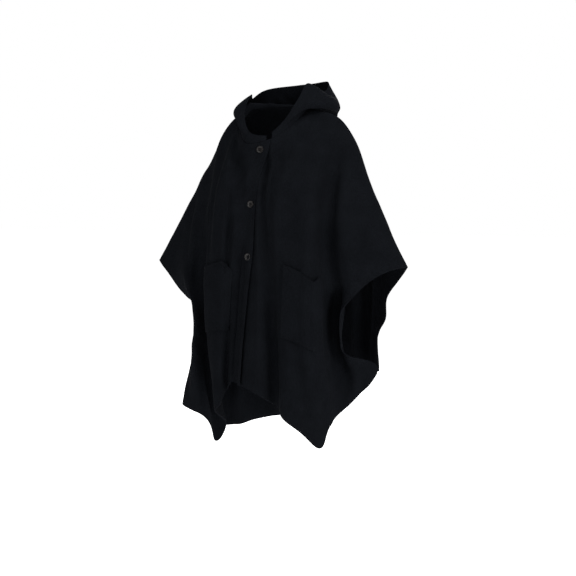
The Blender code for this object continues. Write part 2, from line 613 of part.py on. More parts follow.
def button(name, place, out):
    """Turned disc with a raised rim, its foot just off the cloth."""
    across = out.cross(Vector((0, 0, 1))).normalized()
    upward = across.cross(out).normalized()
    rings = [(BUTTON_RADIUS * 0.90, 0.0), (BUTTON_RADIUS, BUTTON_THICK * 0.45),
             (BUTTON_RADIUS, BUTTON_THICK), (BUTTON_RADIUS - RIM_WIDTH * 0.5, BUTTON_THICK + RIM_RISE),
             (BUTTON_RADIUS - RIM_WIDTH, BUTTON_THICK)]
    foot = place + out * SEAM
    points, faces = [], []
    for radius, height in rings:
        for k in range(BUTTON_SIDES):
            turn = 2 * math.pi * k / BUTTON_SIDES
            points.append(foot + across * (radius * math.cos(turn)) + upward * (radius * math.sin(turn))
                          + out * height)
    low = len(points)
    points.append(foot.copy())
    points.append(foot + out * BUTTON_THICK)
    for k in range(BUTTON_SIDES):
        after = (k + 1) % BUTTON_SIDES
        faces.append((low, after, k))
        last = (len(rings) - 1) * BUTTON_SIDES
        faces.append((low + 1, last + k, last + after))
        for ring in range(len(rings) - 1):
            a, b = ring * BUTTON_SIDES + k, ring * BUTTON_SIDES + after
            faces.append((a, b, b + BUTTON_SIDES))
            faces.append((a, b + BUTTON_SIDES, a + BUTTON_SIDES))
    return solid(name, points, faces)


clear_objects()

cloth_items = [
    sheet("front_left", panel_grid(left_place, left_shares)),
    sheet("front_right", panel_grid(right_front_place, right_shares), mirrored=True),
    sheet("back", panel_grid(back_place, [-share for share in reversed(back_shares[1:])] + back_shares)),
    sheet("hood_left", hood_grid(1, HOOD_LEFT)),
    sheet("hood_right", hood_grid(-1, HOOD_RIGHT), mirrored=True),
    sheet("pocket_left", pocket_grid(left_place, left_shares, POCKET_LEFT)),
    sheet("pocket_right", pocket_grid(right_front_place, own_shares, POCKET_RIGHT), mirrored=True),
]
for item in cloth_items:
    material(item, "boiled_wool", WOOL_COLOUR, WOOL_ROUGHNESS)
edge_share = BUTTON_FROM_EDGE / PANEL_WIDTH
for number, down in enumerate(BUTTON_DOWNS, start=1):
    place, out = right_front_place(edge_share - lap_share, down)
    item = button("button_%d" % number, place, out)
    material(item, "horn", HORN_COLOUR, HORN_ROUGHNESS)
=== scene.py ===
import math
import bmesh
import bpy
from mathutils import Matrix, Vector, noise
from mathutils.bvhtree import BVHTree
from mathutils.kdtree import KDTree


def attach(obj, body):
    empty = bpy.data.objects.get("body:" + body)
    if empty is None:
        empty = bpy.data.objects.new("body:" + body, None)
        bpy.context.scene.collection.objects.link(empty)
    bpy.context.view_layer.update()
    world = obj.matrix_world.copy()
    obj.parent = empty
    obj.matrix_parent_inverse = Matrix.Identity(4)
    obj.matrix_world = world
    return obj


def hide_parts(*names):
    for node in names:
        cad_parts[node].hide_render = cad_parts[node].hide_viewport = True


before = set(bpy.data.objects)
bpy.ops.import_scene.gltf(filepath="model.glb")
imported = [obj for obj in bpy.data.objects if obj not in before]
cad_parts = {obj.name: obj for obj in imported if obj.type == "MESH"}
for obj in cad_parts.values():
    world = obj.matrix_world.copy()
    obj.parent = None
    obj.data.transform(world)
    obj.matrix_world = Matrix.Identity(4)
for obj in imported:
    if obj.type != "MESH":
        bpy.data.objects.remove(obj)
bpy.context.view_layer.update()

mm = 0.001

cloth = {
    "cadWall": 3.0 * mm,       # thickness of the walls in the frame
    "thickness": 2.7 * mm,     # thickness of the shells made here
    "edgeRound": 0.8 * mm,     # rounding of the felted cut edges
    "waveLong": 95 * mm, "waveLongHeight": 1.3 * mm,
    "waveShort": 34 * mm, "waveShortHeight": 0.45 * mm,
    "seamDip": 1.3 * mm, "seamWidth": 5.0 * mm,
    "seamCalm": 14 * mm,       # creases fade out over this distance towards a seam
    "neckCalm": 16 * mm,       # the neck seam stays put, and the creases fade in over this distance
    "stitchDip": 0.5 * mm, "stitchDipWidth": 2.6 * mm,
}
sewing = {
    "fromEdge": 8.0 * mm,      # edge stitching on hems, openings and the closing
    "fromSeam": 5.0 * mm,
    "pocketIn": 5.0 * mm,
    "pitch": 3.8 * mm, "length": 2.9 * mm, "width": 0.75 * mm, "height": 0.5 * mm,
    "sides": 6, "rings": 4,
}


def workOn(item):
    bpy.ops.object.select_all(action="DESELECT")
    item.select_set(True)
    bpy.context.view_layer.objects.active = item


def applyModifier(item, kind, settings):
    workOn(item)
    made = item.modifiers.new(kind.lower(), kind)
    for key, value in settings.items():
        setattr(made, key, value)
    bpy.ops.object.modifier_apply(modifier=made.name)


def findDiagonals(mesh):
    # Each cell of the frame's cloth is two triangles. A corner with three edges has the first
    # diagonal in its middle, and the opposite sides of two joined triangles are of one family.
    corner = next(v for v in mesh.verts if v.is_boundary and len(v.link_edges) == 3)
    start = next(edge for edge in corner.link_edges if not edge.is_boundary)
    family = {start: "diagonal"}
    first = start.link_faces[0]
    for name, edge in zip(("across", "down"), [edge for edge in first.edges if edge != start]):
        family[edge] = name
    queue, done = [first], {first}
    while queue:
        face = queue.pop()
        for edge in face.edges:
            for other in edge.link_faces:
                if other in done:
                    continue
                one, two = edge.verts
                for side in other.edges:
                    if side == edge:
                        continue
                    far = two if one in side.verts else one
                    family[side] = family[[e for e in face.edges if e != edge and far in e.verts][0]]
                done.add(other)
                queue.append(other)
    return [edge for edge, name in family.items() if name == "diagonal"]


def takeWall(nodeName, pieceName, outward, levels):
    # The wall of the solid that faces outward, as a smooth sheet of four-sided cells
    item = bpy.data.objects.new(pieceName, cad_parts[nodeName].data.copy())
    bpy.context.scene.collection.objects.link(item)
    item.data.materials.clear()
    workOn(item)
    bpy.ops.object.mode_set(mode="EDIT")
    bpy.ops.mesh.select_all(action="SELECT")
    bpy.ops.mesh.remove_doubles(threshold=0.05 * mm)
    bpy.ops.mesh.select_all(action="DESELECT")
    mesh = bmesh.from_edit_mesh(item.data)
    isRim = lambda face: any(abs(edge.calc_length() - cloth["cadWall"]) < 0.02 * mm for edge in face.edges)
    left = {face for face in mesh.faces if not isRim(face)}
    walls = []
    while left:
        wall = [left.pop()]
        for face in wall:
            for edge in face.edges:
                for other in edge.link_faces:
                    if other in left:
                        left.discard(other)
                        wall.append(other)
        # a rim face meets a wall along one edge, so a face that meets it along more is part of it
        inside = set(wall)
        wall += [face for face in mesh.faces if face not in inside
                 and sum(other in inside for edge in face.edges for other in edge.link_faces) > 1]
        walls.append(wall)
    most = max(len(wall) for wall in walls)
    walls = [wall for wall in walls if len(wall) == most]
    lean = lambda wall: sum(outward(face.calc_center_median()).dot(face.normal) * face.calc_area()
                            for face in wall)
    keep = set(max(walls, key=lean))
    for face in mesh.faces:
        face.select_set(face not in keep)
    bmesh.update_edit_mesh(item.data)
    bpy.ops.mesh.delete(type="FACE")
    bpy.ops.mesh.select_all(action="DESELECT")
    bpy.ops.mesh.select_mode(type="EDGE")
    mesh = bmesh.from_edit_mesh(item.data)
    for edge in findDiagonals(mesh):
        edge.select_set(True)
    bmesh.update_edit_mesh(item.data)
    bpy.ops.mesh.dissolve_edges(use_verts=False)
    bpy.ops.object.mode_set(mode="OBJECT")
    applyModifier(item, "SUBSURF", {"levels": levels, "render_levels": levels,
                                    "boundary_smooth": "PRESERVE_CORNERS"})
    return item


def edgeVertices(item):
    counts = {}
    for face in item.data.polygons:
        for key in face.edge_keys:
            counts[key] = counts.get(key, 0) + 1
    return [key for key, count in counts.items() if count == 1]


def treeOfPoints(points):
    tree = KDTree(max(1, len(points)))
    for number, point in enumerate(points):
        tree.insert(point, number)
    tree.balance()
    return tree


def pairSeam(one, two, reach=1.2 * mm):
    # Edge points of two pieces that are sewn together, each with its partner on the other piece
    edgeOne = sorted({v for key in edgeVertices(one) for v in key})
    edgeTwo = sorted({v for key in edgeVertices(two) for v in key})
    near = treeOfPoints([two.data.vertices[v].co for v in edgeTwo])
    pairs = []
    for v in edgeOne:
        _, number, away = near.find(one.data.vertices[v].co)
        if away < reach:
            pairs.append((v, edgeTwo[number]))
    return pairs


def closeSeam(one, two, pairs):
    # Brings the paired points onto one line, and gives the points of that line
    line = []
    for v, w in pairs:
        middle = (one.data.vertices[v].co + two.data.vertices[w].co) / 2
        one.data.vertices[v].co = middle
        two.data.vertices[w].co = middle
        line.append(middle.copy())
    return line


def finePoints(item, keys, step=1.0 * mm):
    points = []
    for a, b in keys:
        start, end = item.data.vertices[a].co, item.data.vertices[b].co
        parts = max(1, int((end - start).length / step))
        points += [start.lerp(end, part / parts) for part in range(parts + 1)]
    return points


def chainsOf(item, keep):
    # Runs of edge points, in order, of the edges for which keep says yes
    nexts = {}
    for a, b in edgeVertices(item):
        if keep((item.data.vertices[a].co + item.data.vertices[b].co) / 2):
            nexts.setdefault(a, []).append(b)
            nexts.setdefault(b, []).append(a)
    chains = []
    used = set()
    starts = sorted(nexts, key=lambda v: (len(nexts[v]), v))
    for start in starts:
        if start in used:
            continue
        chain = [start]
        used.add(start)
        while True:
            more = [v for v in nexts[chain[-1]] if v not in used]
            if not more:
                break
            chain.append(more[0])
            used.add(more[0])
        if len(chain) > 2 and chain[0] in nexts[chain[-1]]:
            chain.append(chain[0])
        if len(chain) > 1:
            chains.append([item.data.vertices[v].co.copy() for v in chain])
    return chains


def onPanel(point):
    return point.x, point.z


def onHood(point):
    # Round the neck from the front (0), and up
    return math.atan2(point.x, -(point.y + 30 * mm)) * 140 * mm, point.z


def creaseDepth(row, at, place):
    startX, startZ, endX, endZ, bow, width, depth = row
    alongX, alongZ = endX - startX, endZ - startZ
    length = math.hypot(alongX, alongZ)
    u, w = at
    share = ((u - startX) * alongX + (w - startZ) * alongZ) / length ** 2
    if share < -0.15 or share > 1.15:
        return 0.0
    off = ((u - startX) * alongZ - (w - startZ) * alongX) / length
    off -= bow * 4 * share * (1 - share) + 1.5 * mm * noise.noise(place / (40 * mm))
    reach = abs(off) / width
    if reach > 3.2:
        return 0.0
    ends = min(1.0, max(0.0, (share + 0.15) / 0.45)) * min(1.0, max(0.0, (1.15 - share) / 0.45))
    ends = ends * ends * (3 - 2 * ends)
    return depth * ends * (math.exp(-reach ** 2) - 0.38 * math.exp(-((reach - 1.7) / 0.75) ** 2))


def shapeCloth(item, flatten, creases, seamLines=(), lifts=()):
    mesh = item.data
    seamTree = treeOfPoints([point for line in seamLines for point in line]) if any(seamLines) else None
    free = []
    for a, b in edgeVertices(item):
        middle = (mesh.vertices[a].co + mesh.vertices[b].co) / 2
        if seamTree is None or seamTree.find(middle)[2] > 8 * mm:
            free.append((a, b))
    freeTree = treeOfPoints(finePoints(item, free))
    moves = []
    for vertex in mesh.vertices:
        place, at = vertex.co, flatten(vertex.co)
        move = -sum(creaseDepth(row, at, place) for row in creases)
        move += cloth["waveLongHeight"] * noise.noise(place / cloth["waveLong"])
        move += cloth["waveShortHeight"] * noise.noise(place / cloth["waveShort"] + Vector((7, 3, 5)))
        for lift in lifts:
            move += lift(place)
        if seamTree:
            away = seamTree.find(place)[2]
            move *= min(1.0, away / cloth["seamCalm"]) ** 2
            away /= cloth["seamWidth"]
            move -= cloth["seamDip"] * (math.exp(-away ** 2) - 0.3 * math.exp(-(away - 2.2) ** 2))
        if free:
            away = freeTree.find(place)[2]
            move -= cloth["stitchDip"] * math.exp(-((away - sewing["fromEdge"]) / cloth["stitchDipWidth"]) ** 2)
        calm = min(1.0, neckTree.find(place)[2] / cloth["neckCalm"])
        moves.append(vertex.normal * move * calm * calm)
    for vertex, move in zip(mesh.vertices, moves):
        vertex.co += move
    mesh.update()


def surfaceTree(item):
    mesh = bmesh.new()
    mesh.from_mesh(item.data)
    tree = BVHTree.FromBMesh(mesh)
    mesh.free()
    return tree


def thicken(item):
    applyModifier(item, "SOLIDIFY", {"thickness": cloth["thickness"], "offset": -1.0, "use_rim": True})
    workOn(item)
    bpy.ops.object.mode_set(mode="EDIT")
    bpy.ops.mesh.select_all(action="DESELECT")
    bpy.ops.mesh.select_mode(type="EDGE")
    mesh = bmesh.from_edit_mesh(item.data)
    for edge in mesh.edges:
        if len(edge.link_faces) == 2 and edge.calc_face_angle() > math.radians(58):
            lengths = [side.calc_length() for face in edge.link_faces for side in face.edges]
            edge.select_set(any(abs(length - cloth["thickness"]) < 0.35 * mm for length in lengths))
    bmesh.update_edit_mesh(item.data)
    bpy.ops.mesh.bevel(offset=cloth["edgeRound"], segments=2, affect="EDGES", clamp_overlap=True)
    bpy.ops.object.mode_set(mode="OBJECT")
    bpy.ops.object.shade_smooth()


forward = lambda place: Vector((0, -1, 0))
backward = lambda place: Vector((0, 1, 0))


def seenOnHood(place):
    # The hood hangs behind the neck like a bag, so only the part that is seen from behind tells its outside
    return Vector((0, 1, 0)) if place.y > 165 * mm and place.z > -110 * mm else Vector()


frontLeft = takeWall("front_left", "frontLeft", forward, 3)
frontRight = takeWall("front_right", "frontRight", forward, 3)
back = takeWall("back", "backPanel", backward, 2)
hoodLeft = takeWall("hood_left", "hoodLeft", seenOnHood, 3)
hoodRight = takeWall("hood_right", "hoodRight", seenOnHood, 3)
print("walls taken from the frame")

# Each crease: start x, z, end x, z, bow, half width, depth (below 0 is a ridge)
creasesFrontRight = [
    (-0.152, -0.080, -0.172, -0.500, 0.000, 0.021, 0.0130),
    (-0.205, -0.420, -0.222, -1.020, 0.000, 0.019, 0.0120),
    (-0.226, -0.140, -0.246, -0.640, 0.000, 0.024, 0.0150),
    (-0.028, -0.400, -0.070, -0.920, 0.000, 0.017, 0.0125),
    (-0.076, -0.330, -0.092, -0.520, 0.000, 0.012, 0.0045),
    (-0.052, -0.080, -0.022, -0.140, 0.004, 0.009, 0.0034),
    (-0.092, -0.050, -0.118, -0.150, -0.006, 0.012, 0.0030),
    (-0.160, -0.090, -0.205, -0.300, 0.010, 0.020, 0.0040),
    (-0.250, -0.220, -0.310, -0.400, 0.008, 0.020, 0.0048),
    (-0.330, -0.360, -0.385, -0.490, -0.006, 0.016, 0.0030),
    (-0.062, -0.320, -0.085, -0.510, 0.006, 0.018, 0.0042),
    (-0.138, -0.280, -0.150, -0.470, 0.004, 0.016, -0.0026),
    (-0.300, -0.540, -0.240, -0.700, 0.008, 0.012, 0.0036),
    (-0.272, -0.620, -0.212, -0.800, 0.010, 0.011, 0.0030),
    (-0.100, -0.780, -0.122, -0.980, 0.004, 0.014, 0.0036),
    (-0.205, -0.790, -0.190, -0.950, -0.004, 0.013, -0.0030),
    (-0.048, -0.610, -0.058, -0.840, 0.003, 0.012, 0.0024),
    (-0.020, -0.170, -0.075, -0.260, 0.006, 0.012, 0.0018),
    (-0.285, -0.800, -0.300, -0.930, 0.004, 0.012, 0.0030),
]
creasesFrontLeft = [
    (0.224, -0.060, 0.231, -0.900, 0.002, 0.025, 0.0185),
    (0.052, -0.300, 0.074, -0.970, 0.000, 0.017, 0.0130),
    (0.024, -0.100, 0.046, -0.500, 0.000, 0.010, 0.0100),
    (0.048, -0.115, 0.092, -0.210, 0.004, 0.013, 0.0028),
    (0.100, -0.070, 0.152, -0.170, -0.006, 0.015, 0.0030),
    (0.118, -0.190, 0.124, -0.430, 0.006, 0.022, 0.0040),
    (0.054, -0.310, 0.070, -0.520, -0.004, 0.015, 0.0028),
    (0.262, -0.150, 0.306, -0.340, 0.010, 0.018, 0.0046),
    (0.308, -0.270, 0.360, -0.440, -0.006, 0.015, 0.0030),
    (0.242, -0.400, 0.268, -0.560, 0.004, 0.013, -0.0026),
    (0.352, -0.430, 0.300, -0.545, 0.006, 0.012, 0.0030),
    (0.160, -0.690, 0.184, -0.980, 0.008, 0.019, 0.0046),
    (0.104, -0.860, 0.134, -1.000, 0.003, 0.013, -0.0028),
    (0.236, -0.700, 0.262, -0.930, 0.006, 0.012, 0.0038),
    (0.276, -0.800, 0.252, -0.950, -0.004, 0.010, -0.0032),
    (0.300, -0.820, 0.290, -0.900, 0.002, 0.009, 0.0030),
]
creasesBack = [
    (0.206, -0.100, 0.222, -0.780, 0.006, 0.023, 0.0120),
    (-0.190, -0.120, -0.214, -0.900, -0.006, 0.022, 0.0125),
    (0.062, -0.240, 0.082, -0.960, 0.006, 0.019, 0.0095),
    (-0.076, -0.300, -0.100, -0.980, -0.006, 0.020, 0.0085),
    (0.300, -0.260, 0.352, -0.480, 0.004, 0.016, 0.0070),
    (-0.290, -0.260, -0.350, -0.480, -0.004, 0.016, 0.0075),
    (-0.060, -0.080, -0.092, -0.360, 0.010, 0.020, 0.0040),
    (0.050, -0.110, 0.074, -0.330, -0.008, 0.018, 0.0034),
    (-0.018, -0.300, -0.030, -0.620, 0.006, 0.020, 0.0030),
    (0.132, -0.160, 0.176, -0.450, 0.008, 0.021, 0.0048),
    (-0.150, -0.180, -0.196, -0.430, -0.008, 0.020, 0.0044),
    (0.238, -0.210, 0.300, -0.430, 0.010, 0.018, 0.0042),
    (-0.246, -0.230, -0.318, -0.430, -0.010, 0.018, 0.0042),
    (0.330, -0.340, 0.376, -0.480, 0.004, 0.014, 0.0028),
    (-0.336, -0.340, -0.384, -0.480, 0.006, 0.014, 0.0028),
    (0.090, -0.560, 0.104, -0.900, -0.006, 0.017, 0.0036),
    (-0.110, -0.600, -0.120, -0.930, 0.006, 0.016, 0.0034),
    (0.216, -0.520, 0.230, -0.800, 0.006, 0.015, 0.0034),
    (-0.216, -0.540, -0.236, -0.900, -0.006, 0.016, 0.0038),
    (0.020, -0.640, 0.034, -0.960, 0.004, 0.015, -0.0030),
]
creasesHoodLeft = [
    (0.090, -0.050, 0.190, 0.020, 0.008, 0.009, 0.0026),
    (0.210, 0.010, 0.300, 0.052, -0.006, 0.010, 0.0030),
    (0.280, -0.020, 0.370, 0.010, 0.008, 0.012, 0.0034),
    (0.350, 0.050, 0.400, -0.050, 0.006, 0.011, 0.0028),
    (0.400, 0.020, 0.425, -0.090, -0.004, 0.010, 0.0026),
]
creasesHoodRight = [
    (-0.080, -0.050, -0.170, 0.016, -0.008, 0.009, 0.0028),
    (-0.190, -0.010, -0.290, 0.036, 0.006, 0.010, 0.0030),
    (-0.290, -0.030, -0.360, 0.030, -0.008, 0.012, 0.0034),
    (-0.350, 0.040, -0.410, -0.060, -0.006, 0.011, 0.0030),
    (-0.385, 0.060, -0.425, -0.020, 0.004, 0.009, -0.0022),
]

pairsLeft, pairsRight = pairSeam(frontLeft, back), pairSeam(frontRight, back)
pairsHood = pairSeam(hoodLeft, hoodRight)
seamsLeft = closeSeam(frontLeft, back, pairsLeft)
seamsRight = closeSeam(frontRight, back, pairsRight)
hoodSeam = closeSeam(hoodLeft, hoodRight, pairsHood)

panelPoints = treeOfPoints([vertex.co for item in (frontLeft, frontRight, back)
                            for vertex in item.data.vertices])
# Points of the hood that are sewn to the panels
neckTree = treeOfPoints([vertex.co.copy() for item in (hoodLeft, hoodRight) for vertex in item.data.vertices
                         if panelPoints.find(vertex.co)[2] < 4 * mm])


# The free edge of the lapping front: where it runs from top to foot, and how it stands off
lap = {
    "topX": 12 * mm, "shift": 52 * mm, "topZ": -0.12, "length": 0.73,
    "reach": 22 * mm, "lift": 1.6 * mm, "onlyBelowX": 30 * mm,
}


def lapLift(place):
    near = min(1.0, max(0.0, (place.x - lapEdgeAt(place.z) + lap["reach"]) / lap["reach"]))
    return lap["lift"] * near * near if place.x < lap["onlyBelowX"] else 0.0


def lapEdgeAt(height):
    return lap["topX"] - lap["shift"] * min(1.0, max(0.0, (lap["topZ"] - height) / lap["length"]))


shapeCloth(frontLeft, onPanel, creasesFrontLeft, [seamsLeft])
shapeCloth(frontRight, onPanel, creasesFrontRight, [seamsRight], [lapLift])
shapeCloth(back, onPanel, creasesBack, [seamsLeft, seamsRight])
shapeCloth(hoodLeft, onHood, creasesHoodLeft, [hoodSeam])
shapeCloth(hoodRight, onHood, creasesHoodRight, [hoodSeam])
seamsLeft = closeSeam(frontLeft, back, pairsLeft)
seamsRight = closeSeam(frontRight, back, pairsRight)
hoodSeam = closeSeam(hoodLeft, hoodRight, pairsHood)
print("creases and seams shaped")

# Patch pockets lie on the finished fronts
pockets = {"bulge": 2.2 * mm, "bulgeWithin": 24 * mm, "clear": 0.4 * mm, "mostGape": 8.0 * mm}


def layPocket(nodeName, pieceName, front):
    item = takeWall(nodeName, pieceName, forward, 3)
    tree = surfaceTree(front)
    edge = treeOfPoints(finePoints(item, edgeVertices(item)))
    least = cloth["thickness"] + pockets["clear"]
    for vertex in item.data.vertices:
        place, out, _, _ = tree.find_nearest(vertex.co)
        stand = min(pockets["mostGape"], max(least, (vertex.co - place).dot(out)))
        away = edge.find(vertex.co)[2] / pockets["bulgeWithin"]
        vertex.co = place + out * (stand + pockets["bulge"] * (1 - math.exp(-away ** 2)))
    item.data.update()
    return item


pocketLeft = layPocket("pocket_left", "pocketLeft", frontLeft)
pocketRight = layPocket("pocket_right", "pocketRight", frontRight)
print("pockets laid on the fronts")


# Stitching: one stitch is modelled and copied along each row
def oneStitch():
    bpy.ops.object.select_all(action="DESELECT")
    bpy.ops.mesh.primitive_uv_sphere_add(segments=sewing["sides"], ring_count=sewing["rings"], radius=0.5)
    ball = bpy.context.active_object
    ball.scale = (sewing["length"], sewing["width"], sewing["height"])
    bpy.ops.object.transform_apply(location=False, rotation=False, scale=True)
    points = [vertex.co.copy() for vertex in ball.data.vertices]
    faces = [tuple(face.vertices) for face in ball.data.polygons]
    bpy.data.objects.remove(ball)
    return points, faces


stitchPoints, stitchFaces = oneStitch()


def sew(name, places):
    # places: middle, direction along the row, out of the cloth, and size
    points, faces = [], []
    for middle, along, out, size in places:
        side = out.cross(along).normalized()
        along = side.cross(out).normalized()
        first = len(points)
        for point in stitchPoints:
            points.append(middle + (along * point.x + side * point.y + out * point.z) * size)
        faces += [tuple(first + corner for corner in face) for face in stitchFaces]
    mesh = bpy.data.meshes.new(name)
    mesh.from_pydata(points, [], faces)
    item = bpy.data.objects.new(name, mesh)
    bpy.context.scene.collection.objects.link(item)
    workOn(item)
    bpy.ops.object.shade_smooth()
    return item


def rowAlong(item, tree, inward, keep):
    edge = treeOfPoints(finePoints(item, edgeVertices(item)))
    places = []
    for chain in chainsOf(item, keep):
        fine = []
        for start, end in zip(chain, chain[1:]):
            parts = max(1, int((end - start).length / mm))
            fine += [start.lerp(end, part / parts) for part in range(parts)]
        line = []
        for number in range(3, len(fine) - 3):
            along = (fine[number + 3] - fine[number - 3]).normalized()
            _, out, _, _ = tree.find_nearest(fine[number])
            into = out.cross(along).normalized()
            ahead = tree.find_nearest(fine[number] + into * inward)[3]
            if ahead > tree.find_nearest(fine[number] - into * inward)[3]:
                into = -into
            place, out, _, _ = tree.find_nearest(fine[number] + into * inward)
            if edge.find(place)[2] > inward - 1.0 * mm:
                line.append((place, out))
        gone = sewing["pitch"]
        for (before, _), (place, out) in zip(line, line[1:]):
            step = place - before
            gone += step.length
            if gone >= sewing["pitch"] and 0 < step.length < 4 * mm:
                places.append((place + out * 0.1 * mm, step.normalized(), out, 1.0))
                gone = 0.0
    return places


neckLine = treeOfPoints([vertex.co for item in (hoodLeft, hoodRight) for vertex in item.data.vertices])
seamTree = treeOfPoints(seamsLeft + seamsRight)
hoodSeamTree = treeOfPoints(hoodSeam)
isFree = lambda place: seamTree.find(place)[2] > 6 * mm and neckLine.find(place)[2] > 12 * mm
isSeam = lambda place: seamTree.find(place)[2] < 6 * mm
panelTree = treeOfPoints([vertex.co for item in (frontLeft, frontRight, back)
                          for vertex in item.data.vertices])
isRimOfHood = lambda place: hoodSeamTree.find(place)[2] > 5 * mm and panelTree.find(place)[2] > 9 * mm

clothPieces = (frontLeft, frontRight, back, hoodLeft, hoodRight, pocketLeft, pocketRight)
trees = {item.name: surfaceTree(item) for item in clothPieces}
rows = {
    "stitchesFrontLeft": rowAlong(frontLeft, trees["frontLeft"], sewing["fromEdge"], isFree)
    + rowAlong(frontLeft, trees["frontLeft"], sewing["fromSeam"], isSeam),
    "stitchesFrontRight": rowAlong(frontRight, trees["frontRight"], sewing["fromEdge"], isFree)
    + rowAlong(frontRight, trees["frontRight"], sewing["fromSeam"], isSeam),
    "stitchesBack": rowAlong(back, trees["backPanel"], sewing["fromEdge"], isFree)
    + rowAlong(back, trees["backPanel"], sewing["fromSeam"], isSeam),
    "stitchesHoodLeft": rowAlong(hoodLeft, trees["hoodLeft"], sewing["fromEdge"], isRimOfHood),
    "stitchesHoodRight": rowAlong(hoodRight, trees["hoodRight"], sewing["fromEdge"], isRimOfHood),
    "stitchesPocketLeft": rowAlong(pocketLeft, trees["pocketLeft"], sewing["pocketIn"], lambda place: True),
    "stitchesPocketRight": rowAlong(pocketRight, trees["pocketRight"], sewing["pocketIn"], lambda place: True),
}
stitches = {name: sew(name, places) for name, places in rows.items()}
print("stitches sewn:", sum(len(places) for places in rows.values()))

# Buttons: turned discs with a raised rim and four holes, sewn on with thread
buttons = {
    "radius": 10.5 * mm, "thick": 3.4 * mm, "rimWidth": 2.3 * mm, "dish": 1.1 * mm, "round": 0.5 * mm,
    "holeRadius": 1.0 * mm, "holeFromMiddle": 2.1 * mm, "sides": 64,
    "holeLength": 27 * mm,     # length of the buttonhole
    "holeStitch": 1.15 * mm,   # spacing of the buttonhole stitches
}


def standOf(nodeName):
    # Middle of the frame's button and the direction out of its face
    points = [vertex.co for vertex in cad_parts[nodeName].data.vertices]
    middle = sum(points, Vector()) / len(points)
    faces = {}
    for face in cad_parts[nodeName].data.polygons:
        if face.normal.y < -0.5:
            key = tuple(round(part, 2) for part in face.normal)
            faces[key] = faces.get(key, 0.0) + face.area
    out = Vector(max(faces, key=faces.get)).normalized()
    side = Vector((0, 0, 1)).cross(out).normalized()
    up = out.cross(side)
    turn = Matrix((side, up, out)).transposed().to_4x4()
    return middle, out, turn


def turnButton(name, nodeName):
    middle, out, turn = standOf(nodeName)
    bpy.ops.object.select_all(action="DESELECT")
    bpy.ops.mesh.primitive_cylinder_add(vertices=buttons["sides"], radius=buttons["radius"],
                                        depth=buttons["thick"])
    disc = bpy.context.active_object
    disc.name = name
    bpy.ops.object.mode_set(mode="EDIT")
    bpy.ops.mesh.select_all(action="DESELECT")
    mesh = bmesh.from_edit_mesh(disc.data)
    for face in mesh.faces:
        face.select_set(face.normal.z > 0.9)
    bmesh.update_edit_mesh(disc.data)
    bpy.ops.mesh.inset(thickness=buttons["rimWidth"])
    bpy.ops.mesh.inset(thickness=0.9 * mm)
    bpy.ops.transform.translate(value=(0, 0, -buttons["dish"]))
    bpy.ops.mesh.inset(thickness=3.0 * mm)
    bpy.ops.transform.translate(value=(0, 0, -0.2 * mm))
    bpy.ops.mesh.select_all(action="DESELECT")
    mesh = bmesh.from_edit_mesh(disc.data)
    for edge in mesh.edges:
        edge.select_set(len(edge.link_faces) == 2 and edge.calc_face_angle() > math.radians(30)
                        and abs(edge.verts[0].co.z - edge.verts[1].co.z) < 0.01 * mm)
    bmesh.update_edit_mesh(disc.data)
    bpy.ops.mesh.bevel(offset=buttons["round"], segments=3, affect="EDGES")
    bpy.ops.object.mode_set(mode="OBJECT")
    away = buttons["holeFromMiddle"]
    for x, y in ((away, away), (-away, away), (-away, -away), (away, -away)):
        bpy.ops.object.select_all(action="DESELECT")
        bpy.ops.mesh.primitive_cylinder_add(vertices=16, radius=buttons["holeRadius"],
                                            depth=4 * buttons["thick"], location=(x, y, 0))
        drill = bpy.context.active_object
        applyModifier(disc, "BOOLEAN", {"operation": "DIFFERENCE", "object": drill, "solver": "EXACT"})
        bpy.data.objects.remove(drill)
    workOn(disc)
    bpy.ops.object.shade_smooth_by_angle(angle=math.radians(35))
    disc.matrix_world = Matrix.Translation(middle) @ turn
    bpy.ops.object.transform_apply(location=True, rotation=True, scale=True)
    # two strands of thread across the middle, over the holes
    face = middle + out * (buttons["thick"] / 2 - buttons["dish"])
    side, up = turn.to_3x3().col[0].copy(), turn.to_3x3().col[1].copy()
    strands = []
    for offset in (-away, away):
        for shift in (-0.35 * mm, 0.35 * mm):
            strands.append((face + up * (offset + shift) + out * 0.1 * mm, side, out, 2.0))
    return disc, strands, middle, side, up, out


def stitchButtonhole(middle, side, up, out):
    # A slit that runs from the button towards the free edge, bound with close stitches
    places = []
    count = int(buttons["holeLength"] / buttons["holeStitch"])
    for number in range(count + 1):
        across = (number / count - 0.36) * buttons["holeLength"]
        for lip in (-1, 1):
            aim = middle + side * across + up * (lip * 1.5 * mm)
            place, normal, _, _ = trees["frontRight"].find_nearest(aim)
            places.append((place + normal * 0.15 * mm, up, normal, 0.95))
    for end in (-0.38, 0.66):
        for lip in (-1, 0, 1):
            aim = middle + side * (end * buttons["holeLength"]) + up * (lip * 1.2 * mm)
            place, normal, _, _ = trees["frontRight"].find_nearest(aim)
            places.append((place + normal * 0.2 * mm, up, normal, 0.95))
    return places


buttonPieces = []
threadPlaces, holePlaces = [], []
for number in (1, 2, 3):
    disc, strands, middle, side, up, out = turnButton("hornButton%d" % number, "button_%d" % number)
    buttonPieces.append((disc, "button_%d" % number))
    threadPlaces += strands
    holePlaces += stitchButtonhole(middle, side, up, out)
buttonThread = sew("buttonThread", threadPlaces)
buttonholes = sew("buttonholes", holePlaces)
print("buttons turned and sewn on")

for item in clothPieces:
    thicken(item)
print("cloth thickened")


# Materials
def hexColour(code):
    parts = [int(code[start:start + 2], 16) / 255 for start in (0, 2, 4)]
    linear = [part / 12.92 if part <= 0.04045 else ((part + 0.055) / 1.055) ** 2.4 for part in parts]
    return (*linear, 1.0)


